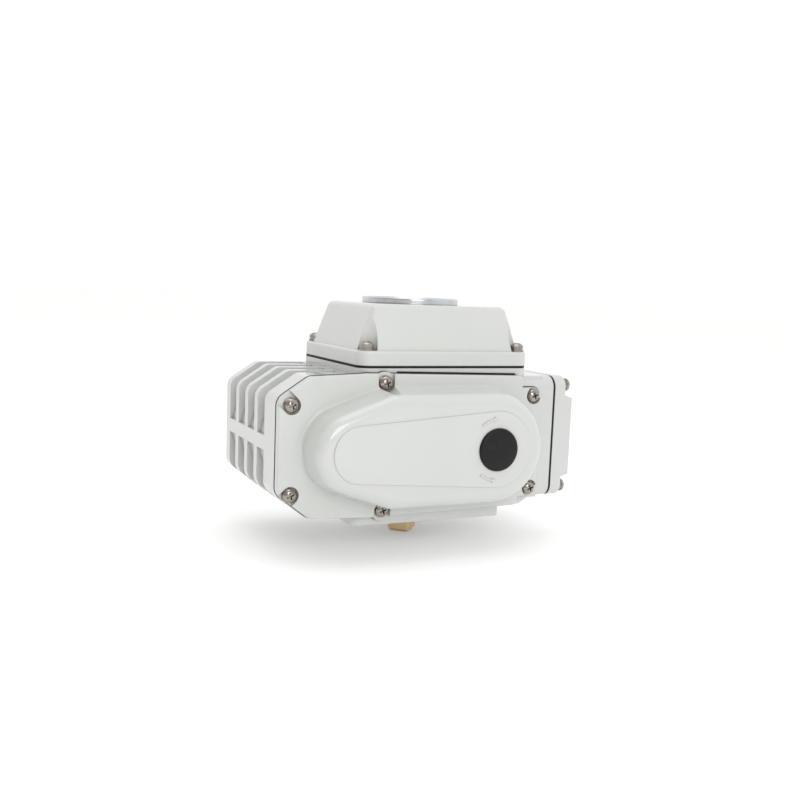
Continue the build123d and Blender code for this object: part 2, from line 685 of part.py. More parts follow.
with BuildPart() as top_cover_washers:
    place(washer(M5_R + 0.1, WASHER_R, WASHER), top_planes(TOP_SCREWS, LIP_TOP))
    place(spring_washer(M5_R + 0.1, M5_HEAD_R - 0.3, SPRING_WASHER), top_planes(TOP_SCREWS, LIP_TOP + WASHER))
save(top_cover_washers, "top_cover_washers")

with BuildPart() as top_cover_screws:
    place(
        pan_screw(M5_R, 22, M5_HEAD_R, M5_HEAD),
        top_planes(TOP_SCREWS, LIP_TOP + WASHER + SPRING_WASHER),
    )
save(top_cover_screws, "top_cover_screws")

with BuildPart() as window_seal:
    with BuildSketch(Plane.XY.offset(TOP_COVER_Z)):
        Circle(LENS_R)
        Circle(WINDOW_HOLE_R + 0.5, mode=Mode.SUBTRACT)
    extrude(amount=WINDOW_SEAL)
save(window_seal, "window_seal")

LENS_Z = TOP_COVER_Z + WINDOW_SEAL
with BuildPart() as window_lens:
    with BuildSketch(Plane.XZ):
        with BuildLine():
            Polyline(
                (0, LENS_Z),
                (LENS_R, LENS_Z),
                (LENS_R, LENS_Z + 2),
                (LENS_TOP_R, LENS_Z + 2),
                (LENS_TOP_R, LENS_Z + 2.8),
                (LENS_TOP_R - 1, LENS_Z + 3.3),
                (0, LENS_Z + 3.3),
                close=True,
            )
        make_face()
    revolve(axis=Axis.Z)
save(window_lens, "window_lens")

with BuildPart() as window_bezel:
    with BuildSketch(Plane.XZ):
        with BuildLine():
            Polyline(
                (LENS_R + 0.1, TOP_COVER_Z),
                (BEZEL_R, TOP_COVER_Z),
                (BEZEL_R, TOP_COVER_Z + BEZEL_HEIGHT - 1.5),
            )
            RadiusArc(
                (BEZEL_R, TOP_COVER_Z + BEZEL_HEIGHT - 1.5), (BEZEL_R - 1.5, TOP_COVER_Z + BEZEL_HEIGHT), -1.5
            )
            Polyline(
                (BEZEL_R - 1.5, TOP_COVER_Z + BEZEL_HEIGHT),
                (LENS_TOP_R + 1.2, TOP_COVER_Z + BEZEL_HEIGHT),
                (LENS_TOP_R + 0.2, TOP_COVER_Z + BEZEL_HEIGHT - 1.0),
                (LENS_TOP_R + 0.2, LENS_Z + 2.05),
                (LENS_R + 0.1, LENS_Z + 2.05),
                (LENS_R + 0.1, TOP_COVER_Z),
            )
        make_face()
    revolve(axis=Axis.Z)
save(window_bezel, "window_bezel")

# ---------------------------------------------------------------- terminal box

COVER_SEAT = TERMINAL_SPLIT + TERMINAL_GASKET
COVER_OUT = COVER_SEAT + TERMINAL_COVER
with BuildPart() as terminal_cover:
    with BuildSketch(Plane.YZ.offset(COVER_SEAT)):
        add(rounded_box(TERMINAL_FRONT, TERMINAL_BACK, TERMINAL_BOTTOM, TERMINAL_TOP, TERMINAL_CORNER_R))
    extrude(amount=TERMINAL_COVER)
    fillet(terminal_cover.faces().sort_by(Axis.X)[-1].edges(), 2)
    # Thicker middle, flush with the front and back
    with BuildSketch(Plane.XZ.offset(-TERMINAL_FRONT)):
        with BuildLine():
            Polyline(
                (COVER_OUT - 3, 26.5),
                (COVER_OUT + TERMINAL_PANEL, 29.5),
                (COVER_OUT + TERMINAL_PANEL, 86.0),
                (COVER_OUT - 3, 89.0),
                close=True,
            )
        make_face()
    extrude(amount=TERMINAL_FRONT - TERMINAL_BACK)
    fillet(terminal_cover.faces().sort_by(Axis.X)[-1].edges(), 1.5)
    block(COVER_SEAT - 1, COVER_OUT + 3, -52, TERMINAL_ROOM_Y[1], 31, 84, mode=Mode.SUBTRACT)
    for y, z in TERMINAL_SCREWS:
        rod_x(y, z, COVER_SEAT - 1, COVER_OUT + 1, M5_R + 0.25, mode=Mode.SUBTRACT)
save(terminal_cover, "terminal_cover")

with BuildPart() as terminal_cover_gasket:
    with BuildSketch(Plane.YZ.offset(TERMINAL_SPLIT)):
        add(rounded_box(
            TERMINAL_FRONT + 0.3, TERMINAL_BACK - 0.3, TERMINAL_BOTTOM + 0.3, TERMINAL_TOP - 0.3,
            TERMINAL_CORNER_R - 0.3,
        ))
        add(rounded_box(-50, 34.5, 27, 88, 3), mode=Mode.SUBTRACT)
        with Locations(*TERMINAL_SCREWS):
            Circle(M5_R + 0.4, mode=Mode.SUBTRACT)
    extrude(amount=TERMINAL_GASKET)
save(terminal_cover_gasket, "terminal_cover_gasket")

with BuildPart() as terminal_cover_washers:
    place(washer(M5_R + 0.1, WASHER_R, WASHER), right_planes(TERMINAL_SCREWS, COVER_OUT))
    place(
        spring_washer(M5_R + 0.1, M5_HEAD_R - 0.3, SPRING_WASHER),
        right_planes(TERMINAL_SCREWS, COVER_OUT + WASHER),
    )
save(terminal_cover_washers, "terminal_cover_washers")

with BuildPart() as terminal_cover_screws:
    place(
        pan_screw(M5_R, 22, M5_HEAD_R, M5_HEAD),
        right_planes(TERMINAL_SCREWS, COVER_OUT + WASHER + SPRING_WASHER),
    )
save(terminal_cover_screws, "terminal_cover_screws")

with BuildPart() as terminal_block:
    block(TERMINAL_INNER, TERMINAL_INNER + 14, -34, 22, 44, 62)
    for pole in range(POLES + 1):
        y = -34 + pole * POLE_PITCH
        block(TERMINAL_INNER + 9, TERMINAL_INNER + 17, y - 0.6, y + 0.6, 44, 62)
    for pole in range(POLES):
        y = -34 + (pole + 0.5) * POLE_PITCH
        block(TERMINAL_INNER + 11, TERMINAL_INNER + 20, y - 2.6, y + 2.6, 46, 60, mode=Mode.SUBTRACT)
        rod_x(y, 53, TERMINAL_INNER + 3, TERMINAL_INNER + 12, 1.5, mode=Mode.SUBTRACT)
save(terminal_block, "terminal_block")

TERMINAL_POINTS = [(-34 + (pole + 0.5) * POLE_PITCH, 53) for pole in range(POLES)]
with BuildPart() as terminal_block_screws:
    place(pan_screw(1.5, 6, 2.4, 1.6), right_planes(TERMINAL_POINTS, TERMINAL_INNER + 11))
save(terminal_block_screws, "terminal_block_screws")

with BuildPart() as earth_screw:
    place(pan_screw(2.0, 7, 3.6, 2.4), right_planes([EARTH_POINT], TERMINAL_INNER))
save(earth_screw, "earth_screw")

# ---------------------------------------------------------------- mounting flange

with BuildPart() as mounting_flange:
    with BuildSketch() as flange_plan:
        with BuildLine():
            Polyline(
                (FLANGE_LEFT, FLANGE_FRONT),
                (FLANGE_RIGHT, FLANGE_FRONT),
                (FLANGE_RIGHT, FLANGE_BACK),
                (FLANGE_LEFT, FLANGE_BACK),
                close=True,
            )
        make_face()
        fillet(flange_plan.vertices().group_by(Axis.X)[0], 8)
        fillet(flange_plan.vertices().group_by(Axis.X)[-1], 3)
    extrude(amount=FLANGE_THICKNESS)
    chamfer(mounting_flange.faces().sort_by(Axis.Z)[0].edges(), 0.6)
    rod_z(0, 0, FLANGE_THICKNESS, SPIGOT_TOP, WELL_R - 0.1)
    rod_z(0, 0, -1, SEAL_TOP, SEAL_R, mode=Mode.SUBTRACT)
    rod_z(0, 0, SEAL_TOP, SPIGOT_TOP + 1, LOWER_BUSH_R, mode=Mode.SUBTRACT)
    for x, y in VALVE_BOLTS:
        rod_z(x, y, -1, FLANGE_THICKNESS + 1, VALVE_HOLE_R, mode=Mode.SUBTRACT)
    for x, y in FLANGE_SCREWS:
        rod_z(x, y, -1, FLANGE_THICKNESS + 1, M6_R + 0.3, mode=Mode.SUBTRACT)
        rod_z(x, y, -1, M6_HEAD + 0.4, M6_HEAD_R + 0.4, mode=Mode.SUBTRACT)
save(mounting_flange, "mounting_flange")

with BuildPart() as flange_screws:
    for x, y in FLANGE_SCREWS:
        rod_z(x, y, 0.4, 0.4 + M6_HEAD, M6_HEAD_R)
        rod_z(x, y, 0.4 + M6_HEAD, FLANGE_THICKNESS + 12, M6_R)
        with BuildSketch(Plane.XY):
            with Locations((x, y)):
                RegularPolygon(2.9, 6)
        extrude(amount=3, mode=Mode.SUBTRACT)
save(flange_screws, "flange_screws")

with BuildPart() as output_seal:
    with BuildSketch(Plane.XY.offset(0.5)):
        Circle(SEAL_R)
        Circle(SHAFT_R + RUNNING_GAP, mode=Mode.SUBTRACT)
    extrude(amount=SEAL_TOP - 0.5)
    with BuildSketch(Plane.XY.offset(0.5)):
        Circle(SEAL_R - 1.4)
        Circle(SHAFT_R + 1.4, mode=Mode.SUBTRACT)
    extrude(amount=1.5, mode=Mode.SUBTRACT)
save(output_seal, "output_seal")

with BuildPart() as lower_bush:
    with BuildSketch(Plane.XY.offset(SEAL_TOP)):
        Circle(LOWER_BUSH_R)
        Circle(SHAFT_R + RUNNING_GAP, mode=Mode.SUBTRACT)
    extrude(amount=SPIGOT_TOP - SEAL_TOP)
    with BuildSketch(Plane.XY.offset(SPIGOT_TOP)):
        Circle(LOWER_BUSH_R + 3)
        Circle(SHAFT_R + RUNNING_GAP, mode=Mode.SUBTRACT)
    extrude(amount=BUSH_FLANGE)
save(lower_bush, "lower_bush")

with BuildPart() as upper_bush:
    with BuildSketch(Plane.XY.offset(WELL_TOP)):
        Circle(UPPER_BUSH_R)
        Circle(JOURNAL_R + RUNNING_GAP, mode=Mode.SUBTRACT)
    extrude(amount=COMPARTMENT_FLOOR - WELL_TOP)
    with BuildSketch(Plane.XY.offset(WELL_TOP - BUSH_FLANGE)):
        Circle(UPPER_BUSH_R + 3)
        Circle(JOURNAL_R + RUNNING_GAP, mode=Mode.SUBTRACT)
    extrude(amount=BUSH_FLANGE)
save(upper_bush, "upper_bush")

# ---------------------------------------------------------------- output shaft and worm wheel

HUB_BOTTOM = SPIGOT_TOP + BUSH_FLANGE + 0.1
HUB_TOP = WELL_TOP - BUSH_FLANGE - 0.1
with BuildPart() as output_shaft:
    rod_z(0, 0, 0, HUB_TOP, SHAFT_R)
    rod_z(0, 0, HUB_TOP, CIRCLIP_Z + 3, JOURNAL_R)
    rod_z(0, 0, CIRCLIP_Z + 3, CAM_SHAFT_TOP, CAM_SHAFT_R)
    rod_z(0, 0, CAM_SHAFT_TOP, CAM_SHAFT_TOP + 5, POST_SPIGOT_R)
    with BuildSketch(Plane.XY):
        Rectangle(STUB_SQUARE, STUB_SQUARE, rotation=45)
        Circle(SHAFT_R, mode=Mode.INTERSECT)
    extrude(amount=-STUB_LENGTH)
    chamfer(output_shaft.faces().sort_by(Axis.Z)[0].edges(), 1.5)
    # Keyway and retaining-ring groove
    block(SHAFT_R - 3, SHAFT_R + 1, -3, 3, WHEEL_BOTTOM, WHEEL_TOP, mode=Mode.SUBTRACT)
    with BuildSketch(Plane.XY.offset(CIRCLIP_Z)):
        Circle(JOURNAL_R + 1)
        Circle(JOURNAL_R - 0.6, mode=Mode.SUBTRACT)
    extrude(amount=1.3, mode=Mode.SUBTRACT)
save(output_shaft, "output_shaft")

with BuildPart() as shaft_circlip:
    with BuildSketch(Plane.XY.offset(CIRCLIP_Z + 0.05)):
        Circle(JOURNAL_R + 2.2)
        Circle(JOURNAL_R - 0.5, mode=Mode.SUBTRACT)
        with Locations((0, JOURNAL_R + 1)):
            Rectangle(3, 5, mode=Mode.SUBTRACT)
    extrude(amount=1.2)
save(shaft_circlip, "shaft_circlip")

with BuildPart() as wheel_key:
    block(SHAFT_R - 3, SHAFT_R + 2.4, -3, 3, WHEEL_BOTTOM, WHEEL_TOP)
save(wheel_key, "wheel_key")

WHEEL_PITCH_R = WORM_MODULE * WHEEL_TEETH / 2
LEAD_ANGLE = math.degrees(math.atan(WORM_MODULE / (2 * WORM_PITCH_R)))
# Teeth lean by the worm's lead angle; a gap faces the worm
with BuildPart() as wheel_tooth:
    with BuildSketch(Plane.XY):
        with BuildLine():
            Polyline(
                (WHEEL_PITCH_R - 1.3 * WORM_MODULE, WHEEL_TOOTH + 0.55),
                (WHEEL_PITCH_R, WHEEL_TOOTH),
                (WHEEL_PITCH_R + 0.9 * WORM_MODULE, WHEEL_TOOTH - 0.45),
                (WHEEL_PITCH_R + 0.9 * WORM_MODULE, -WHEEL_TOOTH + 0.45),
                (WHEEL_PITCH_R, -WHEEL_TOOTH),
                (WHEEL_PITCH_R - 1.3 * WORM_MODULE, -WHEEL_TOOTH - 0.55),
                close=True,
            )
        make_face()
    extrude(amount=WHEEL_FACE / 2, both=True)
leaning_tooth = wheel_tooth.part.rotate(Axis.X, -LEAD_ANGLE).translate((0, 0, AXIS_Z))

with BuildPart() as worm_wheel:
    rod_z(0, 0, HUB_BOTTOM, HUB_TOP, 15.5)
    rod_z(0, 0, WHEEL_BOTTOM, WHEEL_TOP, WHEEL_PITCH_R - 1.25 * WORM_MODULE)
    with PolarLocations(0, WHEEL_TEETH, start_angle=180 / WHEEL_TEETH):
        add(leaning_tooth)
    rod_z(0, 0, 0, 100, SHAFT_R, mode=Mode.SUBTRACT)
    block(0, SHAFT_R + 2.4, -3, 3, WHEEL_BOTTOM, WHEEL_TOP, mode=Mode.SUBTRACT)
save(worm_wheel, "worm_wheel")

# ---------------------------------------------------------------- cams, switches and indicator

with BuildPart() as stop_arm:
    rod_z(0, 0, STOP_ARM_Z, CAM_Z[0] - 0.1, 10)
    with BuildSketch(Plane.XY.offset(STOP_ARM_Z)):
        with Locations(Location((STOP_R / 2 * 0.7071, -STOP_R / 2 * 0.7071), -45)):
            Rectangle(STOP_R + 6, 8)
    extrude(amount=CAM_Z[0] - 0.1 - STOP_ARM_Z)
    fillet(stop_arm.edges().filter_by(Axis.Z).sort_by(Axis.X)[-2:], 2)
    rod_z(0, 0, STOP_ARM_Z - 1, CAM_Z[0] + 1, CAM_SHAFT_R, mode=Mode.SUBTRACT)
save(stop_arm, "stop_arm")

with BuildPart() as stop_pins:
    for x, y in STOP_PINS:
        rod_z(x, y, COMPARTMENT_FLOOR - 5, CAM_Z[0] - 0.3, STOP_PIN_R)
save(stop_pins, "stop_pins")

for name, z, lobe_angle in (("close_cam", CAM_Z[0], 90), ("open_cam", CAM_Z[1], 0)):
    with BuildPart() as cam:
        rod_z(0, 0, z, z + CAM_PITCH - 0.2, 9)
        with BuildSketch(Plane.XY.offset(z)):
            Circle(CAM_R)
            with PolarLocations(CAM_R - 4, 1, start_angle=lobe_angle):
                RectangleRounded(2 * (CAM_LOBE_R - CAM_R + 4), 12, 3)
        extrude(amount=CAM_WIDTH)
        rod_z(0, 0, z - 1, z + CAM_PITCH, CAM_SHAFT_R, mode=Mode.SUBTRACT)
    save(cam, name)

with BuildPart() as switch_bracket:
    block(-16, 16, SWITCH_Y, SWITCH_Y + 20, SWITCH_PLATE_Z, SWITCH_PLATE_Z + 2)
    for x in (-13, 13):
        rod_z(x, SWITCH_Y + 16, COMPARTMENT_FLOOR, SWITCH_PLATE_Z, 3)
    for x in (-5, 5):
        rod_z(x, SWITCH_Y + 7, SWITCH_PLATE_Z - 1, SWITCH_PLATE_Z + 3, 1.2, mode=Mode.SUBTRACT)
save(switch_bracket, "switch_bracket")

with BuildPart() as limit_switches:
    for z in CAM_Z:
        block(-10, 10, SWITCH_Y, SWITCH_Y + 10, z - 0.8, z + 5.6)
        for x in (-7, 0, 7):
            block(x - 1.6, x + 1.6, SWITCH_Y + 9, SWITCH_Y + 14, z + 2, z + 2.6)
        block(-3, -1, SWITCH_Y - 0.6, SWITCH_Y + 1, z + 1.5, z + 3.3)
        for x in (-5, 5):
            rod_z(x, SWITCH_Y + 7, z - 2, z + 7, 1.2, mode=Mode.SUBTRACT)
save(limit_switches, "limit_switches")

with BuildPart() as switch_spacers:
    for x in (-5, 5):
        for start, end in (
            (SWITCH_PLATE_Z + 2, CAM_Z[0] - 0.8),
            (CAM_Z[0] + 5.6, CAM_Z[1] - 0.8),
        ):
            rod_z(x, SWITCH_Y + 7, start, end, 2.4)
            rod_z(x, SWITCH_Y + 7, start - 1, end + 1, 1.2, mode=Mode.SUBTRACT)
save(switch_spacers, "switch_spacers")

with BuildPart() as switch_screws:
    place(pan_screw(1.1, 22, 2.2, 1.5), top_planes([(-5, SWITCH_Y + 7), (5, SWITCH_Y + 7)], CAM_Z[1] + 5.6))
save(switch_screws, "switch_screws")

for name, z in (("close_switch_lever", CAM_Z[0]), ("open_switch_lever", CAM_Z[1])):
    with BuildPart() as lever:
        rod_z(LEVER_X, LEVER_Y, z + 0.2, z + 4.6, 1.2)
        with BuildSketch(Plane.XY.offset(z + 0.4)):
            with BuildLine():
                Polyline(
                    (LEVER_X, LEVER_Y + 0.3),
                    (LEVER_X, LEVER_Y - 0.5),
                    (-LEVER_X - 1, LEVER_TIP_Y),
                    (-LEVER_X - 1, LEVER_TIP_Y + 0.8),
                    close=True,
                )
            make_face()
        extrude(amount=4)
        rod_z(LEVER_X, LEVER_Y, z - 1, z + 6, 0.65, mode=Mode.SUBTRACT)
    save(lever, name)

with BuildPart() as lever_pins:
    for z in CAM_Z:
        rod_z(LEVER_X, LEVER_Y, z - 0.8, z + 5.6, 0.6)
        for start, end in ((z - 0.8, z), (z + 4.8, z + 5.6)):
            block(LEVER_X - 1.4, LEVER_X + 1.4, LEVER_Y - 1.4, SWITCH_Y, start, end)
save(lever_pins, "lever_pins")

with BuildPart() as indicator_post:
    rod_z(0, 0, CAM_SHAFT_TOP, DIAL_Z, CAM_SHAFT_R)
    rod_z(0, 0, CAM_SHAFT_TOP - 1, CAM_SHAFT_TOP + 6, POST_SPIGOT_R, mode=Mode.SUBTRACT)
save(indicator_post, "indicator_post")

with BuildPart() as indicator_dial:
    rod_z(0, 0, DIAL_Z, DIAL_Z + 2, DIAL_R)
    with BuildSketch(Plane.XY.offset(DIAL_Z + 1)):
        Circle(DIAL_R - 1.5)
        Circle(DIAL_R - 6, mode=Mode.SUBTRACT)
    extrude(amount=2, mode=Mode.SUBTRACT)
save(indicator_dial, "indicator_dial")

with BuildPart() as indicator_pointer:
    with BuildSketch(Plane.XY.offset(DIAL_Z + 2)):
        with BuildLine():
            Polyline((DIAL_R - 4, 0), (8, 9), (8, 4), (-DIAL_R + 6, 4), (-DIAL_R + 6, -4), (8, -4), (8, -9), close=True)
        make_face()
    extrude(amount=1.2)
save(indicator_pointer, "indicator_pointer")

# ---------------------------------------------------------------- motor

with BuildPart() as motor_bracket:
    rod_y(MOTOR_X, AXIS_Z, BODY_FRONT, BODY_FRONT + 2.5, BRACKET_R)
    rod_y(MOTOR_X, AXIS_Z, BODY_FRONT + 2, BODY_FRONT + 9, CHAMBER_R - 0.1)
    rod_y(MOTOR_X, AXIS_Z, BODY_FRONT + 3, BODY_FRONT + 10, MOTOR_BEARING_R, mode=Mode.SUBTRACT)
    rod_y(MOTOR_X, AXIS_Z, BODY_FRONT - 1, BODY_FRONT + 10, 6, mode=Mode.SUBTRACT)
    rod_y(IDLER1_X, AXIS_Z, BODY_FRONT - 1, BODY_FRONT + 10, IDLER_PIN_R, mode=Mode.SUBTRACT)
    for x, z in BRACKET_SCREWS:
        rod_y(x, z, BODY_FRONT - 1, BODY_FRONT + 10, 1.7, mode=Mode.SUBTRACT)
        rod_y(x, z, BODY_FRONT - 1, BODY_FRONT + 1.5, 2.7, mode=Mode.SUBTRACT)
save(motor_bracket, "motor_bracket")

with BuildPart() as motor_bracket_screws:
    for x, z in BRACKET_SCREWS:
        rod_y(x, z, BODY_FRONT + 0.3, BODY_FRONT + 1.5, 2.5)
        rod_y(x, z, BODY_FRONT + 1.5, BODY_FRONT + 11, 1.4)
        block(x - 1.8, x + 1.8, BODY_FRONT, BODY_FRONT + 0.8, z - 0.3, z + 0.3, mode=Mode.SUBTRACT)
save(motor_bracket_screws, "motor_bracket_screws")

with BuildPart() as motor_end_plate:
    rod_y(MOTOR_X, AXIS_Z, END_PLATE_Y, END_PLATE_Y + 3, CHAMBER_R - 0.1)
    rod_y(MOTOR_X, AXIS_Z, END_PLATE_Y, END_PLATE_Y + 8, MOTOR_BEARING_R + 3)
    rod_y(MOTOR_X, AXIS_Z, END_PLATE_Y - 1, END_PLATE_Y + 6, MOTOR_BEARING_R, mode=Mode.SUBTRACT)
    for angle in range(30, 390, 60):
        x = MOTOR_X + 24 * math.cos(math.radians(angle))
        z = AXIS_Z + 24 * math.sin(math.radians(angle))
        rod_y(x, z, END_PLATE_Y - 1, END_PLATE_Y + 4, 5, mode=Mode.SUBTRACT)
save(motor_end_plate, "motor_end_plate")

with BuildPart() as motor_bearings:
    add(bearing_y(MOTOR_X, BODY_FRONT + 3, BODY_FRONT + 9, MOTOR_SHAFT_R + RUNNING_GAP, MOTOR_BEARING_R))
    add(bearing_y(MOTOR_X, END_PLATE_Y, END_PLATE_Y + 6, MOTOR_SHAFT_R + RUNNING_GAP, MOTOR_BEARING_R))
save(motor_bearings, "motor_bearings")

with BuildPart() as stator_core:
    rod_y(MOTOR_X, AXIS_Z, *STATOR_Y, CHAMBER_R - 0.1)
    rod_y(MOTOR_X, AXIS_Z, STATOR_Y[0] - 1, STATOR_Y[1] + 1, ROTOR_R + 0.5, mode=Mode.SUBTRACT)
    for angle in range(0, 360, 30):
        x = MOTOR_X + 26 * math.cos(math.radians(angle))
        z = AXIS_Z + 26 * math.sin(math.radians(angle))
        rod_y(x, z, STATOR_Y[0] - 1, STATOR_Y[1] + 1, 2.6, mode=Mode.SUBTRACT)
save(stator_core, "stator_core")

with BuildPart() as stator_windings:
    for start, end in ((STATOR_Y[0] - 11, STATOR_Y[0]), (STATOR_Y[1], STATOR_Y[1] + 9)):
        with BuildSketch(Plane.YZ.offset(MOTOR_X)):
            with Locations(((start + end) / 2, AXIS_Z + 27)):
                RectangleRounded(end - start, 11, 2.5)
        revolve(axis=Axis((MOTOR_X, 0, AXIS_Z), (0, 1, 0)))
    for angle in range(0, 360, 30):
        x = MOTOR_X + 26 * math.cos(math.radians(angle))
        z = AXIS_Z + 26 * math.sin(math.radians(angle))
        rod_y(x, z, STATOR_Y[0] - 3, STATOR_Y[1] + 3, 2.5)
save(stator_windings, "stator_windings")

with BuildPart() as motor_shaft:
    rod_y(MOTOR_X, AXIS_Z, LEVEL_C - GEAR_WIDTH - 0.3, END_PLATE_Y + 5.5, MOTOR_SHAFT_R)
save(motor_shaft, "motor_shaft")

with BuildPart() as motor_rotor:
    rod_y(MOTOR_X, AXIS_Z, *STATOR_Y, ROTOR_R)
    for start, end in ((STATOR_Y[0] - 4, STATOR_Y[0]), (STATOR_Y[1], STATOR_Y[1] + 4)):
        rod_y(MOTOR_X, AXIS_Z, start, end, ROTOR_R - 2)
    rod_y(MOTOR_X, AXIS_Z, STATOR_Y[0] - 5, STATOR_Y[1] + 5, MOTOR_SHAFT_R, mode=Mode.SUBTRACT)
save(motor_rotor, "motor_rotor")

with BuildPart() as motor_pinion:
    add(spur_gear(MOTOR_X, LEVEL_C, PINION_TEETH, 0))
    rod_y(MOTOR_X, AXIS_Z, LEVEL_C - 20, LEVEL_C + 1, MOTOR_SHAFT_R, mode=Mode.SUBTRACT)
save(motor_pinion, "motor_pinion")

# ---------------------------------------------------------------- gear train

with BuildPart() as first_idler_gear:
    add(spur_gear(IDLER1_X, LEVEL_C, IDLER1_BIG, meshing_tooth(IDLER1_BIG)))
    add(spur_gear(IDLER1_X, LEVEL_B, IDLER1_SMALL, 0))
    rod_y(IDLER1_X, AXIS_Z, BODY_FRONT - 0.5, LEVEL_C, 5.5)
    rod_y(IDLER1_X, AXIS_Z, LEVEL_C - 20, 0, IDLER_PIN_R + RUNNING_GAP, mode=Mode.SUBTRACT)
save(first_idler_gear, "first_idler_gear")

with BuildPart() as second_idler_gear:
    add(spur_gear(IDLER2_X, LEVEL_B, IDLER2_BIG, meshing_tooth(IDLER2_BIG)))
    add(spur_gear(IDLER2_X, LEVEL_A, IDLER2_SMALL, 0))
    rod_y(IDLER2_X, AXIS_Z, BODY_FRONT - 0.5, LEVEL_B, 6.5)
    rod_y(IDLER2_X, AXIS_Z, LEVEL_B - 20, 0, IDLER_PIN_R + RUNNING_GAP, mode=Mode.SUBTRACT)
save(second_idler_gear, "second_idler_gear")

with BuildPart() as idler_pins:
    rod_y(IDLER1_X, AXIS_Z, LEVEL_C - GEAR_WIDTH - 1, BODY_FRONT + 9, IDLER_PIN_R)
    rod_y(IDLER2_X, AXIS_Z, LEVEL_B - GEAR_WIDTH - 1.5, BODY_FRONT + IDLER_PIN_SEAT, IDLER_PIN_R)
save(idler_pins, "idler_pins")

with BuildPart() as worm_drive_gear:
    add(spur_gear(WORM_X, LEVEL_A, DRIVE_TEETH, meshing_tooth(DRIVE_TEETH)))
    rod_y(WORM_X, AXIS_Z, LEVEL_A - GEAR_WIDTH - 4, LEVEL_A, 9)
    rod_y(WORM_X, AXIS_Z, LEVEL_A - 20, LEVEL_A + 1, WORM_SHAFT_R, mode=Mode.SUBTRACT)
    with BuildSketch(Plane.XZ.offset(-LEVEL_A)):
        with Locations((WORM_X, AXIS_Z)):
            with PolarLocations(20, 6):
                Circle(6)
    extrude(amount=GEAR_WIDTH + 1, mode=Mode.SUBTRACT)
save(worm_drive_gear, "worm_drive_gear")

# Right-hand thread, its middle turn facing the wheel
with BuildPart() as thread:
    with BuildLine():
        helix = Helix(
            math.pi * WORM_MODULE,
            math.pi * WORM_MODULE * WORM_TURNS,
            WORM_PITCH_R,
            center=(0, 0, -math.pi * WORM_MODULE * WORM_TURNS / 2),
        )
    with BuildSketch(Plane(origin=helix @ 0, x_dir=(1, 0, 0), z_dir=helix % 0)):
        with BuildLine():
            Polyline(
                (WORM_ROOT_R - 0.3 - WORM_PITCH_R, -THREAD_HALF - 0.6),
                (0, -THREAD_HALF),
                (0.9 * WORM_MODULE, -THREAD_HALF + 0.5),
                (0.9 * WORM_MODULE, THREAD_HALF - 0.5),
                (0, THREAD_HALF),
                (WORM_ROOT_R - 0.3 - WORM_PITCH_R, THREAD_HALF + 0.6),
                close=True,
            )
        make_face()
    sweep(path=helix, is_frenet=True)

with BuildPart() as worm_shaft:
    rod_y(WORM_X, AXIS_Z, CRANK_NOSE_Y, -WORM_LENGTH / 2, WORM_SHAFT_R)
    rod_y(WORM_X, AXIS_Z, -WORM_LENGTH / 2, WORM_LENGTH / 2, WORM_ROOT_R)
    rod_y(WORM_X, AXIS_Z, WORM_LENGTH / 2, WORM_REAR_SEAT + 7.5, WORM_SHAFT_R)
    # Socket for the hand crank
    with BuildSketch(Plane.XZ.offset(-CRANK_NOSE_Y)):
        with Locations((WORM_X, AXIS_Z)):
            RegularPolygon(CRANK_HEX / 2, 6, major_radius=False)
    extrude(amount=-10, mode=Mode.SUBTRACT)
    place(thread.part, [Plane(origin=(WORM_X, 0, AXIS_Z), x_dir=(1, 0, 0), z_dir=(0, -1, 0))])
save(worm_shaft, "worm_shaft")

with BuildPart() as worm_bearings:
    front_start = WORM_FRONT_SEAT - 7.2
    add(bearing_y(WORM_X, front_start, WORM_FRONT_SEAT - 0.2, WORM_SHAFT_R + RUNNING_GAP, WORM_FRONT_BEARING_R))
    rear_start = WORM_REAR_SEAT + 0.2
    add(bearing_y(WORM_X, rear_start, rear_start + 7, WORM_SHAFT_R + RUNNING_GAP, WORM_REAR_BEARING_R))
save(worm_bearings, "worm_bearings")

# ---------------------------------------------------------------- motor capacitor

with BuildPart() as motor_capacitor:
    rod_y(CAPACITOR_X, CAPACITOR_Z, -42, -2, CAPACITOR_R)
    chamfer(motor_capacitor.faces().sort_by(Axis.Y)[0].edges(), 1)
    for x in (-3, 3):
        block(CAPACITOR_X + x - 0.4, CAPACITOR_X + x + 0.4, -2, 5, CAPACITOR_Z - 2, CAPACITOR_Z + 2)
save(motor_capacitor, "motor_capacitor")

with BuildPart() as capacitor_clip:
    rod_y(CAPACITOR_X, CAPACITOR_Z, -27, -17, CAPACITOR_R + 1.2)
    block(CAPACITOR_X - 5, CAPACITOR_X + 5, -27, -17, COMPARTMENT_FLOOR, CAPACITOR_Z)
    rod_y(CAPACITOR_X, CAPACITOR_Z, -28, -16, CAPACITOR_R, mode=Mode.SUBTRACT)
    block(CAPACITOR_X - 3, CAPACITOR_X + 3, -28, -16, CAPACITOR_Z, CAPACITOR_Z + 15, mode=Mode.SUBTRACT)
save(capacitor_clip, "capacitor_clip")
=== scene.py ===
import json
import math

import bmesh
import bpy
from mathutils import Matrix, Vector


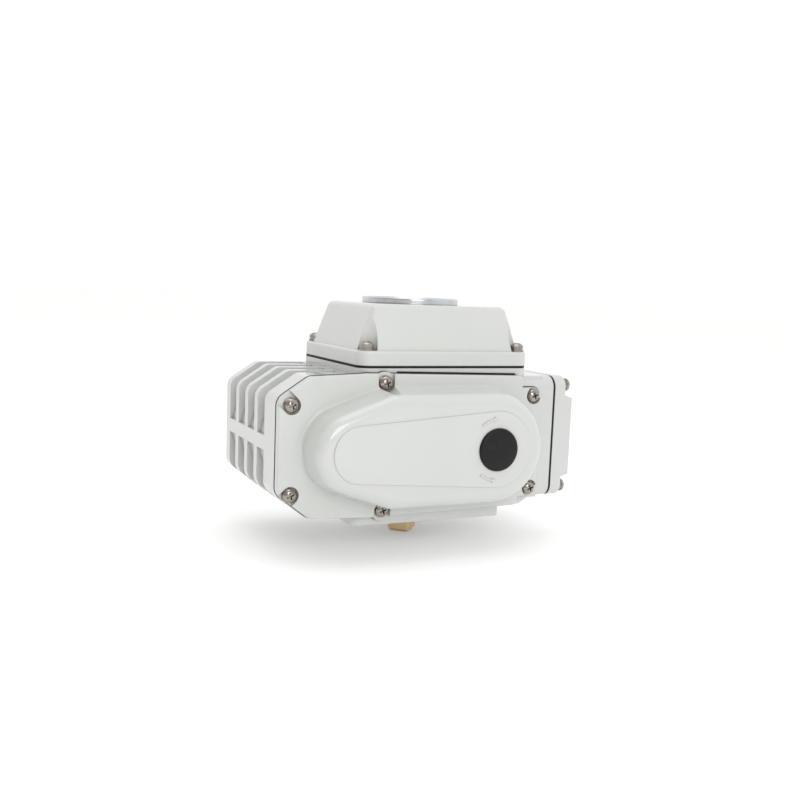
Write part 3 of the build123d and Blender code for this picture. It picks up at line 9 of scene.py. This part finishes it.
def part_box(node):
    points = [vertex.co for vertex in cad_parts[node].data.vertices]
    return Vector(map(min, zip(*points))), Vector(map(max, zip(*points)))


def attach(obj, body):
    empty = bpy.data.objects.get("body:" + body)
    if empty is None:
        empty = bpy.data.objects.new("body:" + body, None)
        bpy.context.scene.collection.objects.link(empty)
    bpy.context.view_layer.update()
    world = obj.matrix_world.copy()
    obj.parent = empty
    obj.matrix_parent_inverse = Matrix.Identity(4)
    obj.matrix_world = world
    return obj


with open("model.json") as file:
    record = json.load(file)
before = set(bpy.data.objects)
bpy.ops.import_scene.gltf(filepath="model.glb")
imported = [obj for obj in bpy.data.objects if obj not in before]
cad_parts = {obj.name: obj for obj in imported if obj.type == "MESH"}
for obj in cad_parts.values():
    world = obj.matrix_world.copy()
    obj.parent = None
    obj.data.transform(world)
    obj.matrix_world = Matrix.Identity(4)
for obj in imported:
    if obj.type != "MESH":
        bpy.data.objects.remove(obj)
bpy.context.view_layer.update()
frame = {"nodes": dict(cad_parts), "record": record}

nodes = frame["nodes"]

# ---------------------------------------------------------------- camera

# Lens and sensor in millimetres, places in metres
LENS = 42.86
SENSOR_WIDTH = 36
NEAREST_SEEN = 0.01
CAMERA_PLACE = Vector((-0.310, -0.645, 0.1628))
CAMERA_TURN = math.radians(25.305)
CAMERA_DOWN = math.radians(6.706)
CAMERA_ROLL = math.radians(2.195)


def make_camera():
    """Camera at the photograph's viewing angle."""
    data = bpy.data.cameras.new("camera")
    data.lens = LENS
    data.sensor_width = SENSOR_WIDTH
    data.clip_start = NEAREST_SEEN
    camera = bpy.data.objects.new("camera", data)
    turn = Matrix.Rotation(-CAMERA_TURN, 4, "Z")
    tilt = Matrix.Rotation(math.pi / 2 - CAMERA_DOWN, 4, "X")
    roll = Matrix.Rotation(CAMERA_ROLL, 4, "Z")
    camera.matrix_world = Matrix.Translation(CAMERA_PLACE) @ turn @ tilt @ roll
    bpy.context.scene.collection.objects.link(camera)
    bpy.context.scene.camera = camera


# ---------------------------------------------------------------- stage and light

FLOOR_REACH = 30
FLOOR_GAP = 0.0005
FLOOR_WHITE = (0.88, 0.88, 0.88)
FLOOR_ROUGHNESS = 0.8
FLOOR_GLOW = 0.17

# The surround goes from its shade to white as a direction turns towards the backdrop
BACKDROP_WAY = (0.70, 0.65, 0.30)
SURROUND_TURN = (-0.7, 0.35)
SURROUND_SHADE = (0.55, 0.54, 0.52)
SURROUND_WHITE = (1.05, 1.05, 1.05)

# Place, aim, size in metres and power in watts
SOFTBOXES = {
    "key": ((-0.12, -0.95, 0.42), (-0.03, 0, 0.06), (0.40, 0.40), 2.15),
    "top": ((-0.1, -0.1, 1.4), (0, 0, 0.06), (0.9, 0.9), 3.0),
    "glint": ((-0.30, -0.95, 0.55), (-0.05, 0, 0.07), (0.03, 0.7), 0.5),
}


def make_stage():
    """Plain pale floor just under the square stub."""
    floor_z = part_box("output_shaft")[0].z
    mesh = bpy.data.meshes.new("floor")
    bm = bmesh.new()
    bmesh.ops.create_grid(bm, x_segments=1, y_segments=1, size=FLOOR_REACH)
    bm.to_mesh(mesh)
    bm.free()
    floor = bpy.data.objects.new("floor", mesh)
    floor.location.z = floor_z - FLOOR_GAP
    bpy.context.scene.collection.objects.link(floor)
    finish = Finish("floor_white", FLOOR_WHITE, FLOOR_ROUGHNESS)
    finish.set(Emission_Color=(1, 1, 1, 1), Emission_Strength=FLOOR_GLOW)
    floor.data.materials.append(finish.material)


def make_world():
    """White backdrop behind the object, pale grey on the left and behind the camera."""
    world = bpy.data.worlds.new("studio")
    bpy.context.scene.world = world
    world.use_nodes = True
    tree = world.node_tree
    background = tree.nodes["Background"]
    direction = tree.nodes.new("ShaderNodeTexCoord")
    facing = tree.nodes.new("ShaderNodeVectorMath")
    facing.operation = "DOT_PRODUCT"
    facing.inputs[1].default_value = BACKDROP_WAY
    fall = tree.nodes.new("ShaderNodeMapRange")
    fall.interpolation_type = "SMOOTHSTEP"
    fall.inputs["From Min"].default_value = SURROUND_TURN[0]
    fall.inputs["From Max"].default_value = SURROUND_TURN[1]
    shade = tree.nodes.new("ShaderNodeMix")
    shade.data_type = "RGBA"
    shade.inputs["A"].default_value = (*SURROUND_SHADE, 1)
    shade.inputs["B"].default_value = (*SURROUND_WHITE, 1)
    tree.links.new(direction.outputs["Generated"], facing.inputs[0])
    tree.links.new(facing.outputs["Value"], fall.inputs["Value"])
    tree.links.new(fall.outputs["Result"], shade.inputs["Factor"])
    tree.links.new(shade.outputs["Result"], background.inputs["Color"])


def add_softbox(name, place, target, size, power):
    """Rectangular soft light aimed at a point."""
    data = bpy.data.lights.new(name, "AREA")
    data.shape = "RECTANGLE"
    data.size = size[0]
    data.size_y = size[1]
    data.energy = power
    light = bpy.data.objects.new(name, data)
    light.location = place
    aim = Vector(target) - Vector(place)
    light.rotation_euler = aim.to_track_quat("-Z", "Y").to_euler()
    bpy.context.scene.collection.objects.link(light)


# ---------------------------------------------------------------- materials

NORMAL_SAMPLES = 6
SHADE_SAMPLES = 8

# Cosine between the rounded and the flat normal, at an edge and on a flat
EDGE_TURN = (0.80, 0.99)

# Share of the surroundings that is open, in a joint and in the open
OPEN_SHARE = (0.25, 0.85)


class Finish:
    """A node material built up step by step on one Principled shader."""

    def __init__(self, name, colour, roughness, metallic=0.0):
        self.material = bpy.data.materials.new(name)
        self.material.use_nodes = True
        self.tree = self.material.node_tree
        self.shader = self.tree.nodes["Principled BSDF"]
        self.shader.inputs["Base Color"].default_value = (*colour, 1)
        self.shader.inputs["Roughness"].default_value = roughness
        self.shader.inputs["Metallic"].default_value = metallic
        self.material.diffuse_color = (*colour, 1)

    def node(self, kind, **values):
        made = self.tree.nodes.new(kind)
        for key, value in values.items():
            setattr(made, key, value)
        return made

    def link(self, source, target):
        self.tree.links.new(source, target)

    def place(self):
        """Position in the object's own coordinates."""
        return self.node("ShaderNodeTexCoord").outputs["Object"]

    def noise(self, scale, detail=4.0, stretch=None):
        texture = self.node("ShaderNodeTexNoise")
        texture.inputs["Scale"].default_value = scale
        texture.inputs["Detail"].default_value = detail
        source = self.place()
        if stretch:
            mapping = self.node("ShaderNodeMapping")
            mapping.inputs["Scale"].default_value = stretch
            self.link(source, mapping.inputs["Vector"])
            source = mapping.outputs["Vector"]
        self.link(source, texture.inputs["Vector"])
        return texture.outputs["Fac"]

    def ramp(self, source, low, high, values):
        """Map a factor from low..high to the two values."""
        fit = self.node("ShaderNodeMapRange")
        fit.inputs["From Min"].default_value = low
        fit.inputs["From Max"].default_value = high
        fit.inputs["To Min"].default_value = values[0]
        fit.inputs["To Max"].default_value = values[1]
        self.link(source, fit.inputs["Value"])
        return fit.outputs["Result"]

    def mix(self, factor, first, second):
        """Blend two colours, each a tuple or a socket."""
        blend = self.node("ShaderNodeMix", data_type="RGBA")
        self.link(factor, blend.inputs["Factor"])
        for value, socket in ((first, blend.inputs["A"]), (second, blend.inputs["B"])):
            if isinstance(value, tuple):
                socket.default_value = (*value, 1)
            else:
                self.link(value, socket)
        return blend.outputs["Result"]

    def edges(self, radius, strength):
        """0 on flats, up to strength within a radius of any edge."""
        bevel = self.node("ShaderNodeBevel", samples=NORMAL_SAMPLES)
        bevel.inputs["Radius"].default_value = radius
        turned = self.node("ShaderNodeVectorMath", operation="DOT_PRODUCT")
        self.link(bevel.outputs["Normal"], turned.inputs[0])
        flat = self.node("ShaderNodeNewGeometry")
        self.link(flat.outputs["Normal"], turned.inputs[1])
        return self.ramp(turned.outputs["Value"], *EDGE_TURN, (strength, 0))

    def crevice(self, distance, strength):
        """Mask for painted shade from ambient occlusion: 0 in the open, up to strength in
        joints and corners.
        """
        shade = self.node("ShaderNodeAmbientOcclusion", samples=SHADE_SAMPLES)
        shade.inputs["Distance"].default_value = distance
        return self.ramp(shade.outputs["AO"], *OPEN_SHARE, (strength, 0))

    def colour(self, socket):
        self.link(socket, self.shader.inputs["Base Color"])

    def roughness(self, socket):
        self.link(socket, self.shader.inputs["Roughness"])

    def bump(self, heights, rounding=0.0):
        """Stack bumps of (socket, distance, strength) over edges rounded in the shading."""
        normal = None
        if rounding:
            bevel = self.node("ShaderNodeBevel", samples=NORMAL_SAMPLES)
            bevel.inputs["Radius"].default_value = rounding
            normal = bevel.outputs["Normal"]
        for height, distance, strength in heights:
            bump = self.node("ShaderNodeBump")
            bump.inputs["Distance"].default_value = distance
            bump.inputs["Strength"].default_value = strength
            self.link(height, bump.inputs["Height"])
            if normal:
                self.link(normal, bump.inputs["Normal"])
            normal = bump.outputs["Normal"]
        self.link(normal, self.shader.inputs["Normal"])

    def set(self, **values):
        """Constants on the shader's own sockets, named with _ for spaces."""
        for key, value in values.items():
            self.shader.inputs[key.replace("_", " ")].default_value = value


PAINT_TONES = ((0.555, 0.568, 0.550), (0.585, 0.597, 0.580))
# Lighter edge colour: partly worn paint, partly a painted highlight along the edges
PAINT_WEAR_AND_HIGHLIGHT = (0.70, 0.70, 0.67)
# Darker, warmer colour painted in as shade in joints and corners
PAINT_CREVICE_SHADE = (0.27, 0.25, 0.21)


def white_paint():
    """Gloss powder coat on a casting: orange peel, casting waves, edges lightened partly as
    wear and partly as a painted highlight, and painted shade in the joints.
    """
    paint = Finish("white_paint", (0.60, 0.615, 0.595), 0.30)
    tone = paint.ramp(paint.noise(14, 3), 0.25, 0.75, (0, 1))
    base = paint.mix(tone, *PAINT_TONES)
    # Lighter edges: partly worn paint, partly a painted highlight
    edge_lightened = paint.mix(paint.edges(0.0006, 0.5), base, PAINT_WEAR_AND_HIGHLIGHT)
    # Painted shade: the colour darkens where ambient light is blocked in joints and corners
    paint.colour(paint.mix(paint.crevice(0.003, 0.6), edge_lightened, PAINT_CREVICE_SHADE))
    paint.roughness(paint.ramp(paint.noise(45, 4), 0.25, 0.75, (0.29, 0.38)))
    waves = (paint.noise(40, 2), 0.0004, 0.2)
    orange_peel = (paint.noise(420, 2), 0.00005, 0.4)
    paint.bump([waves, orange_peel], rounding=0.0009)
    paint.set(Coat_Weight=0.8, Coat_Roughness=0.05)
    return paint.material


def rubber(name, colour, roughness):
    """Moulded rubber with a fine matt grain and paler scuffs."""
    skin = Finish(name, colour, roughness)
    scuff = skin.ramp(skin.noise(130, 6), 0.55, 0.75, (0, 0.35))
    skin.colour(skin.mix(scuff, colour, tuple(c * 2.2 + 0.01 for c in colour)))
    spread = (roughness - 0.08, roughness + 0.08)
    skin.roughness(skin.ramp(skin.noise(300, 3), 0.3, 0.7, spread))
    skin.bump([(skin.noise(1500, 2), 0.00004, 0.6)], rounding=0.0004)
    skin.set(Specular_IOR_Level=0.25)
    return skin.material


# Dark colour painted in as shade in hollows and joints
METAL_CREVICE_SHADE = (0.12, 0.10, 0.08)


def metal(name, colour, roughness, stretch=None, grain=700):
    """Machined metal: fine tool grain, uneven tarnish and painted shade in the hollows."""
    bare = Finish(name, colour, roughness, metallic=1.0)
    tarnish = bare.ramp(bare.noise(160, 5), 0.45, 0.75, (0, 0.45))
    tinted = bare.mix(tarnish, colour, tuple(c * 0.72 for c in colour))
    polished = tuple(min(1, c * 1.3) for c in colour)
    edge_lightened = bare.mix(bare.edges(0.0002, 0.6), tinted, polished)
    # Painted shade: the colour darkens where ambient light is blocked in hollows
    bare.colour(bare.mix(bare.crevice(0.0015, 0.8), edge_lightened, METAL_CREVICE_SHADE))
    spread = (roughness * 0.8, roughness * 1.25)
    bare.roughness(bare.ramp(bare.noise(grain, 3, stretch), 0.3, 0.7, spread))
    bare.bump([(bare.noise(grain, 2, stretch), 0.00003, 0.5)], rounding=0.0002)
    return bare.material


def plastic(name, colour, roughness):
    """Moulded plastic with a light spark-eroded grain."""
    moulded = Finish(name, colour, roughness)
    shade = moulded.ramp(moulded.noise(40, 3), 0.3, 0.7, (0, 1))
    darker = tuple(c * 0.88 for c in colour)
    lighter = tuple(min(1, c * 1.1) for c in colour)
    moulded.colour(moulded.mix(shade, darker, lighter))
    spread = (roughness - 0.05, roughness + 0.08)
    moulded.roughness(moulded.ramp(moulded.noise(200, 3), 0.3, 0.7, spread))
    moulded.bump([(moulded.noise(900, 2), 0.00004, 0.5)], rounding=0.0003)
    return moulded.material


def clear_window():
    """Clear polycarbonate with faint wiping marks."""
    window = Finish("window", (0.96, 0.98, 0.98), 0.03)
    window.roughness(window.ramp(window.noise(90, 4, (1, 8, 1)), 0.5, 0.8, (0.02, 0.12)))
    window.bump([(window.noise(20, 2), 0.0002, 0.2)])
    window.set(Transmission_Weight=1.0, IOR=1.5)
    return window.material


def laminations():
    """Varnished steel laminations stacked along Y."""
    stack = Finish("lamination", (0.10, 0.10, 0.11), 0.45, metallic=0.6)
    lines = stack.node("ShaderNodeTexWave", bands_direction="Y")
    lines.inputs["Scale"].default_value = 320
    stack.link(stack.place(), lines.inputs["Vector"])
    stack.colour(stack.mix(lines.outputs["Fac"], (0.05, 0.05, 0.055), (0.20, 0.20, 0.21)))
    stack.bump([(lines.outputs["Fac"], 0.0001, 0.6)])
    return stack.material


def winding_wire():
    """Enamelled copper wire wound round the motor's axis."""
    wire = Finish("copper", (0.55, 0.19, 0.07), 0.30, metallic=0.85)
    turns = wire.node("ShaderNodeTexWave", bands_direction="X")
    turns.inputs["Scale"].default_value = 260
    turns.inputs["Distortion"].default_value = 3
    wire.link(wire.place(), turns.inputs["Vector"])
    wire.colour(wire.mix(turns.outputs["Fac"], (0.30, 0.09, 0.03), (0.62, 0.24, 0.09)))
    wire.bump([(turns.outputs["Fac"], 0.0004, 0.8)])
    return wire.material


FINISHES = {
    "white_paint": white_paint,
    "gasket_rubber": lambda: rubber("gasket_rubber", (0.012, 0.012, 0.012), 0.6),
    "plug_rubber": lambda: rubber("plug_rubber", (0.008, 0.008, 0.009), 0.42),
    "stainless": lambda: metal("stainless", (0.36, 0.33, 0.30), 0.20, grain=900),
    "zinc_steel": lambda: metal("zinc_steel", (0.60, 0.61, 0.63), 0.36),
    "shaft_steel": lambda: metal("shaft_steel", (0.72, 0.54, 0.32), 0.42, (1, 1, 6), grain=500),
    "gear_steel": lambda: metal("gear_steel", (0.42, 0.42, 0.43), 0.36, (1, 0.15, 1)),
    "bearing_steel": lambda: metal("bearing_steel", (0.66, 0.66, 0.68), 0.14),
    "bronze": lambda: metal("bronze", (0.58, 0.36, 0.14), 0.36),
    "bezel_metal": lambda: metal("bezel_metal", (0.58, 0.60, 0.63), 0.21, grain=1200),
    "raw_aluminium": lambda: metal("raw_aluminium", (0.60, 0.61, 0.62), 0.45, grain=350),
    "lamination": laminations,
    "copper": winding_wire,
    "window": clear_window,
    "black_plastic": lambda: plastic("black_plastic", (0.02, 0.02, 0.022), 0.45),
    "grey_plastic": lambda: plastic("grey_plastic", (0.16, 0.17, 0.18), 0.5),
    "cam_plastic": lambda: plastic("cam_plastic", (0.55, 0.02, 0.015), 0.34),
    "cam_green": lambda: plastic("cam_green", (0.02, 0.22, 0.05), 0.34),
    "dial_plastic": lambda: plastic("dial_plastic", (0.80, 0.80, 0.76), 0.35),
}


def paint_cad():
    """Give each CAD node the finish of its material slot."""
    made = {slot: make() for slot, make in FINISHES.items()}
    for part in frame["record"]["subparts"]:
        mesh = nodes[part["node"]].data
        mesh.materials.clear()
        mesh.materials.append(made[part["material_slot"]])
    return made


# ---------------------------------------------------------------- dial markings

# Heights and radii in metres, angles in degrees
DIAL_RING_Z = 0.144
MARK_HEIGHT = 0.0003
SECTORS = {"open_sector": (0, 90, "cam_green"), "closed_sector": (90, 180, "cam_plastic")}
SECTOR_R = (0.0193, 0.0204)
SECTOR_MARGIN = 3
SECTOR_SEGMENTS = 24
TICK_R = (0.0208, 0.0231)
TICK_STEP = 15
TICK_HALF_WIDTH = 0.7
QUARTER_HALF_WIDTH = 1.6
TICK_SEGMENTS = 2


def add_strip(bm, radii, start, end, segments):
    """Flat strip with thickness along an arc of the dial."""
    inner, outer = radii
    section = ((inner, 0), (outer, 0), (outer, MARK_HEIGHT), (inner, MARK_HEIGHT))
    rows = []
    for index in range(segments + 1):
        angle = math.radians(start + (end - start) * index / segments)
        way = Vector((math.cos(angle), math.sin(angle), 0))
        corners = [
            way * radius + Vector((0, 0, DIAL_RING_Z + height))
            for radius, height in section
        ]
        rows.append([bm.verts.new(corner) for corner in corners])
    for first, second in zip(rows, rows[1:]):
        for side in range(len(section)):
            after = (side + 1) % len(section)
            bm.faces.new((first[side], first[after], second[after], second[side]))
    bm.faces.new(rows[0][::-1])
    bm.faces.new(rows[-1])


def add_mark(name, bm, finish):
    """Turn a finished bmesh into a piece that rides on the output shaft."""
    bmesh.ops.recalc_face_normals(bm, faces=bm.faces)
    rounding = MARK_HEIGHT / 5
    bmesh.ops.bevel(bm, geom=bm.edges[:], offset=rounding, segments=2, affect="EDGES")
    mesh = bpy.data.meshes.new(name)
    bm.to_mesh(mesh)
    bm.free()
    mesh.materials.append(finish)
    mark = bpy.data.objects.new(name, mesh)
    bpy.context.scene.collection.objects.link(mark)
    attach(mark, "output")


def make_dial_markings(made):
    """Travel sectors and graduations in the dial's sunk ring; they turn with the dial."""
    for name, (start, end, slot) in SECTORS.items():
        bm = bmesh.new()
        add_strip(bm, SECTOR_R, start + SECTOR_MARGIN, end - SECTOR_MARGIN, SECTOR_SEGMENTS)
        add_mark(name, bm, made[slot])
    bm = bmesh.new()
    for angle in range(0, 360, TICK_STEP):
        half_width = QUARTER_HALF_WIDTH if angle % 90 == 0 else TICK_HALF_WIDTH
        add_strip(bm, TICK_R, angle - half_width, angle + half_width, TICK_SEGMENTS)
    add_mark("dial_graduations", bm, made["black_plastic"])


bpy.context.scene.view_settings.view_transform = "Standard"
make_camera()
make_stage()
make_world()
for softbox, setting in SOFTBOXES.items():
    add_softbox(softbox, *setting)
finishes = paint_cad()
make_dial_markings(finishes)
